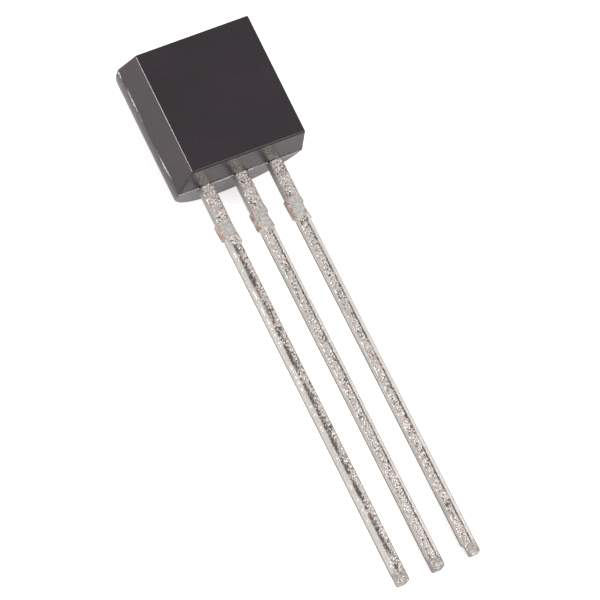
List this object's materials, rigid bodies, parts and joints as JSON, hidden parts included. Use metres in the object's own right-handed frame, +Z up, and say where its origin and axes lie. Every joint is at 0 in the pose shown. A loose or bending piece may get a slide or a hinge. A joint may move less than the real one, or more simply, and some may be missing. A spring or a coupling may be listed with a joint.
{
  "type": "temperature sensor",
  "caption": "Small moulded temperature sensor: a block with one flat face and a half-round back, and three long parallel tinned leads in a row from its lower end.",
  "frame": {"origin": "centre of the bounding box's lower side, on the surface that the sensor lies on", "axes": "+Z up out of the surface; +Y along the leads from their tips to the body's top; +X across the row of leads, to the right when the flat face is seen with the leads towards the viewer"},
  "size_m": [0.0046, 0.0188, 0.0042],
  "materials": {
    "moulded_epoxy": "satin",
    "tinned_copper": "satin",
    "silver_glue": "matte",
    "silicon": "gloss",
    "gold": "gloss"
  },
  "bodies": {
    "root": {"moulded_body": "moulded_epoxy", "lead_left": "tinned_copper", "lead_centre": "tinned_copper", "lead_right": "tinned_copper", "die_attach": "silver_glue", "sensor_die": "silicon", "bond_wire_left": "gold", "bond_wire_centre": "gold", "bond_wire_right": "gold"}
  },
  "joints": []
}
